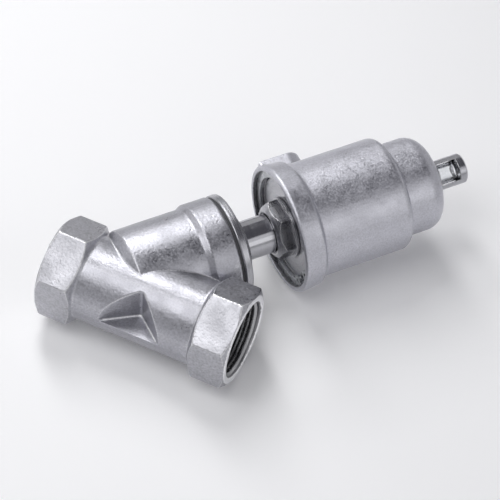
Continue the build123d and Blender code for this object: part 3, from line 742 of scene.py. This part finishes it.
@dataclass
class Actuator:
    """Housing, base plate and sight cage."""

    spring: ReturnSpring = field(default_factory=ReturnSpring)
    housing: Casting = field(default_factory=lambda: Casting(
        "housing_shell", "actuator_housing", "actuator", "pressed_steel", HOUSING_STEEL, housing_softness,
        (Zone(SHADED_BORE_STEEL, in_mouth),), soft_passes=4))
    turned: tuple[str, ...] = ("base_plate", "spring_seat", "indicator_cage")
    seals: tuple[str, ...] = ("plate_seal", "swivel_seal", "indicator_seal")

    def build(self) -> None:
        """Dresses the actuator's fixed pieces."""
        self.housing.build()
        dress(TURNED_STEEL, *self.turned)
        self.spring.build()
        dress(SPRING_STEEL, "retaining_ring")
        dress(RUBBER, *self.seals)
        dress(CLEAR_PLASTIC, "indicator_window")


@dataclass
class Stem:
    """All that slides with the stem."""

    turned: tuple[str, ...] = ("stem", "plug_holder", "seal_washer", "plug_nut", "piston", "piston_washer",
                               "piston_nut")

    def build(self) -> None:
        """Dresses the stem, plug and piston."""
        dress(TURNED_STEEL, *self.turned)
        dress(SPRING_STEEL, "plug_pin")
        dress(SEAL_PLASTIC, "seat_seal", "piston_guide_ring")
        dress(RUBBER, "piston_seal")
        dress(RED_PLASTIC, "indicator_rod")


@dataclass(frozen=True)
class Card:
    """A curved card of pale paper round the valve, outside the picture, seen only in the metal.

    Attributes:
        name: Name of the card.
        span: From which to which angle round the valve it stands, in degrees.
        light: How bright it is.
        radius: Its distance from its centre, in metres.
        height: Its height in metres.
        centre: The point that it stands round, in metres.
    """

    name: str
    span: tuple[float, float]
    light: float
    radius: float = 2.4
    height: float = 1.7
    centre: tuple[float, float] = (0.08, 0.05)

    def build(self, ground: float) -> None:
        """Stands the card on the ground.

        Args:
            ground: Height of the ground in metres.
        """
        bpy.ops.object.select_all(action="DESELECT")
        bpy.ops.mesh.primitive_cylinder_add(vertices=96, radius=self.radius, depth=self.height,
                                            end_fill_type="NOTHING",
                                            location=(*self.centre, ground + self.height / 2))
        card = bpy.context.object
        card.name = self.name
        card.visible_diffuse = False
        bpy.ops.object.mode_set(mode="EDIT")
        bpy.ops.mesh.select_all(action="DESELECT")
        bpy.ops.object.mode_set(mode="OBJECT")
        low, high = (math.radians(v) for v in self.span)
        for face in card.data.polygons:
            angle = math.atan2(face.center.y, face.center.x)
            face.select = not low < angle < high
        bpy.ops.object.mode_set(mode="EDIT")
        bpy.ops.mesh.delete(type="FACE")
        bpy.ops.object.mode_set(mode="OBJECT")
        material = bpy.data.materials.new(self.name)
        material.use_nodes = True
        shader = material.node_tree.nodes["Principled BSDF"]
        shader.inputs["Base Color"].default_value = (0.8, 0.8, 0.8, 1.0)
        shader.inputs["Emission Color"].default_value = WHITE
        shader.inputs["Emission Strength"].default_value = self.light
        card.data.materials.append(material)


@dataclass(frozen=True)
class Lamp:
    """A soft area lamp that looks at the actuator.

    Attributes:
        name: Name of the lamp.
        direction: Which way it hangs, seen from the actuator.
        distance: How far from the actuator, in metres.
        size: Its width and height in metres.
        power: Its power in watts.
        aim: How far along the neck axis it looks, in metres.
    """

    name: str
    direction: tuple[float, float, float]
    distance: float
    size: tuple[float, float]
    power: float
    aim: float = 0.12

    def build(self) -> None:
        """Hangs the lamp."""
        target = NECK_ORIGIN + ALONG * self.aim
        place = target + Vector(self.direction).normalized() * self.distance
        bpy.ops.object.light_add(type="AREA", location=place)
        lamp = bpy.context.object
        lamp.name = self.name
        lamp.data.shape = "RECTANGLE"
        lamp.data.size, lamp.data.size_y = self.size
        lamp.data.energy = self.power
        lamp.rotation_mode = "QUATERNION"
        lamp.rotation_quaternion = (target - place).to_track_quat("-Z", "Y")


@dataclass
class Studio:
    """Floor, lights and camera.

    Attributes:
        azimuth: Camera's turn round the object, in degrees.
        elevation: Camera's height above the plane of pipe and neck, in degrees.
        roll: Camera's turn about its own line of sight, in degrees.
        centre: Camera's place across its own picture, in millimetres.
        distance: Camera's distance, in millimetres.
        focal: Focal length in pixels of the photograph.
        picture_width: Width of the photograph in pixels.
        sensor_width: Width of the camera's sensor in millimetres.
        rest_height: Height of the floor under the pipe axis, in millimetres.
        lip_radius: Radius of the actuator's lip, in millimetres.
        lip_distance: How far along the neck axis the lip lies, in millimetres.
        room_colour: Colour of the room's plain light.
        floor_colour: Colour of the floor.
        floor_glow: How much paler camera and metal see the floor.
        cards: The cards round the valve.
        lamps: The lamps over it.
    """

    azimuth: float = 21.4
    elevation: float = 52.43
    roll: float = 4.61
    centre: tuple[float, float] = (73.65, 19.13)
    distance: float = 1500.0
    focal: float = 2811.5
    picture_width: float = 500.0
    sensor_width: float = 36.0
    rest_height: float = -28.87
    lip_radius: float = 36.4
    lip_distance: float = 100.0
    room_colour: tuple[float, float, float] = (0.12, 0.12, 0.135)
    floor_colour: tuple[float, float, float] = (0.93, 0.93, 0.94)
    floor_glow: float = 0.09
    cards: tuple[Card, ...] = (
        Card("front_card", (-180.0, 5.0), 0.36),
        Card("back_card", (5.0, 180.0), 0.4),
    )
    lamps: tuple[Lamp, ...] = (
        Lamp("front_softbox", (-0.22, -0.40, 0.89), 1.1, (0.7, 0.7), 4.0),
        Lamp("back_softbox", (-0.48, 0.42, 0.77), 1.0, (0.22, 0.8), 5.0),
        Lamp("left_softbox", (-0.85, -0.15, 0.50), 1.2, (0.6, 0.6), 1.8),
        Lamp("right_softbox", (0.79, -0.28, 0.55), 1.2, (0.9, 0.9), 2.0),
    )

    def camera(self) -> None:
        """Places the camera at the photograph's viewing angle."""
        azimuth, elevation, roll = (math.radians(v) for v in (self.azimuth, self.elevation, self.roll))
        back = Vector((math.sin(azimuth) * math.cos(elevation), -math.cos(azimuth) * math.cos(elevation),
                       math.sin(elevation)))
        right = Vector((math.cos(azimuth), math.sin(azimuth), 0.0))
        up = back.cross(right)
        right_rolled = right * math.cos(roll) + up * math.sin(roll)
        up_rolled = up * math.cos(roll) - right * math.sin(roll)
        place = (right_rolled * self.centre[0] + up_rolled * self.centre[1] + back * self.distance) * MM
        bpy.ops.object.camera_add()
        camera = bpy.context.object
        camera.name = "camera"
        turn = Matrix((right_rolled, up_rolled, back)).transposed()
        camera.matrix_world = Matrix.Translation(NECK_ORIGIN + place) @ turn.to_4x4()
        camera.data.sensor_width = self.sensor_width
        camera.data.lens = self.sensor_width * self.focal / self.picture_width
        camera.data.clip_start = 0.05
        camera.data.clip_end = 50.0
        bpy.context.scene.camera = camera

    def floor_normal(self) -> Vector:
        """Normal of the plane on which the pipe ends' corners and the actuator's lip rest.

        Returns:
            The normal, found in rounds because the lip's lowest point moves with the slope.
        """
        lowest = 0.0
        foot_y = ALONG.y * self.lip_distance
        for _ in range(20):
            slope = math.atan2(self.lip_radius + self.rest_height + lowest, foot_y)
            lowest = self.lip_radius * (math.hypot(math.cos(slope), ALONG.x * math.sin(slope)) - 1.0)
        return Vector((0.0, math.sin(slope), math.cos(slope)))

    def floor(self) -> None:
        """Adds the pale floor."""
        bpy.ops.object.select_all(action="DESELECT")
        bpy.ops.mesh.primitive_plane_add(size=8.0)
        floor = bpy.context.object
        floor.name = "floor"
        normal = self.floor_normal()
        floor.rotation_mode = "QUATERNION"
        floor.rotation_quaternion = Vector((0, 0, 1)).rotation_difference(normal)
        floor.location = (0.0, 0.0, self.rest_height * MM)
        material = bpy.data.materials.new("floor_paper")
        material.use_nodes = True
        tree = material.node_tree
        shader = tree.nodes["Principled BSDF"]
        shader.inputs["Base Color"].default_value = (*self.floor_colour, 1.0)
        shader.inputs["Roughness"].default_value = 0.6
        shader.inputs["Specular IOR Level"].default_value = 0.2
        shader.inputs["Emission Color"].default_value = WHITE
        ray = tree.nodes.new("ShaderNodeLightPath")
        seen = ray.outputs["Is Camera Ray"]
        for kind in ("Is Glossy Ray", "Is Transmission Ray"):
            either = tree.nodes.new("ShaderNodeMath")
            either.operation = "MAXIMUM"
            link(tree, seen, either.inputs[0])
            link(tree, ray.outputs[kind], either.inputs[1])
            seen = either.outputs[0]
        glow = tree.nodes.new("ShaderNodeMath")
        glow.operation = "MULTIPLY"
        glow.inputs[1].default_value = self.floor_glow
        link(tree, seen, glow.inputs[0])
        link(tree, glow.outputs[0], shader.inputs["Emission Strength"])
        floor.data.materials.append(material)

    def world(self) -> None:
        """Fills the room with plain grey light."""
        world = bpy.data.worlds.new("room")
        bpy.context.scene.world = world
        world.use_nodes = True
        background = world.node_tree.nodes["Background"]
        background.inputs["Color"].default_value = (*self.room_colour, 1.0)
        background.inputs["Strength"].default_value = 1.0

    def build(self) -> None:
        """Builds the studio round the valve."""
        self.world()
        self.floor()
        for card in self.cards:
            card.build(self.rest_height * MM)
        for lamp in self.lamps:
            lamp.build()
        self.camera()
        bpy.context.scene.view_settings.view_transform = "Standard"


def main() -> None:
    """Builds each sub-assembly, then the studio."""
    logging.basicConfig(level=logging.INFO, format="%(name)s: %(message)s")
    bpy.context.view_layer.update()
    for part in (Body(), Bonnet(), Actuator(), Stem()):
        part.build()
        log.info("finished %s", type(part).__name__)
    Studio().build()


if __name__ == "__main__":
    main()
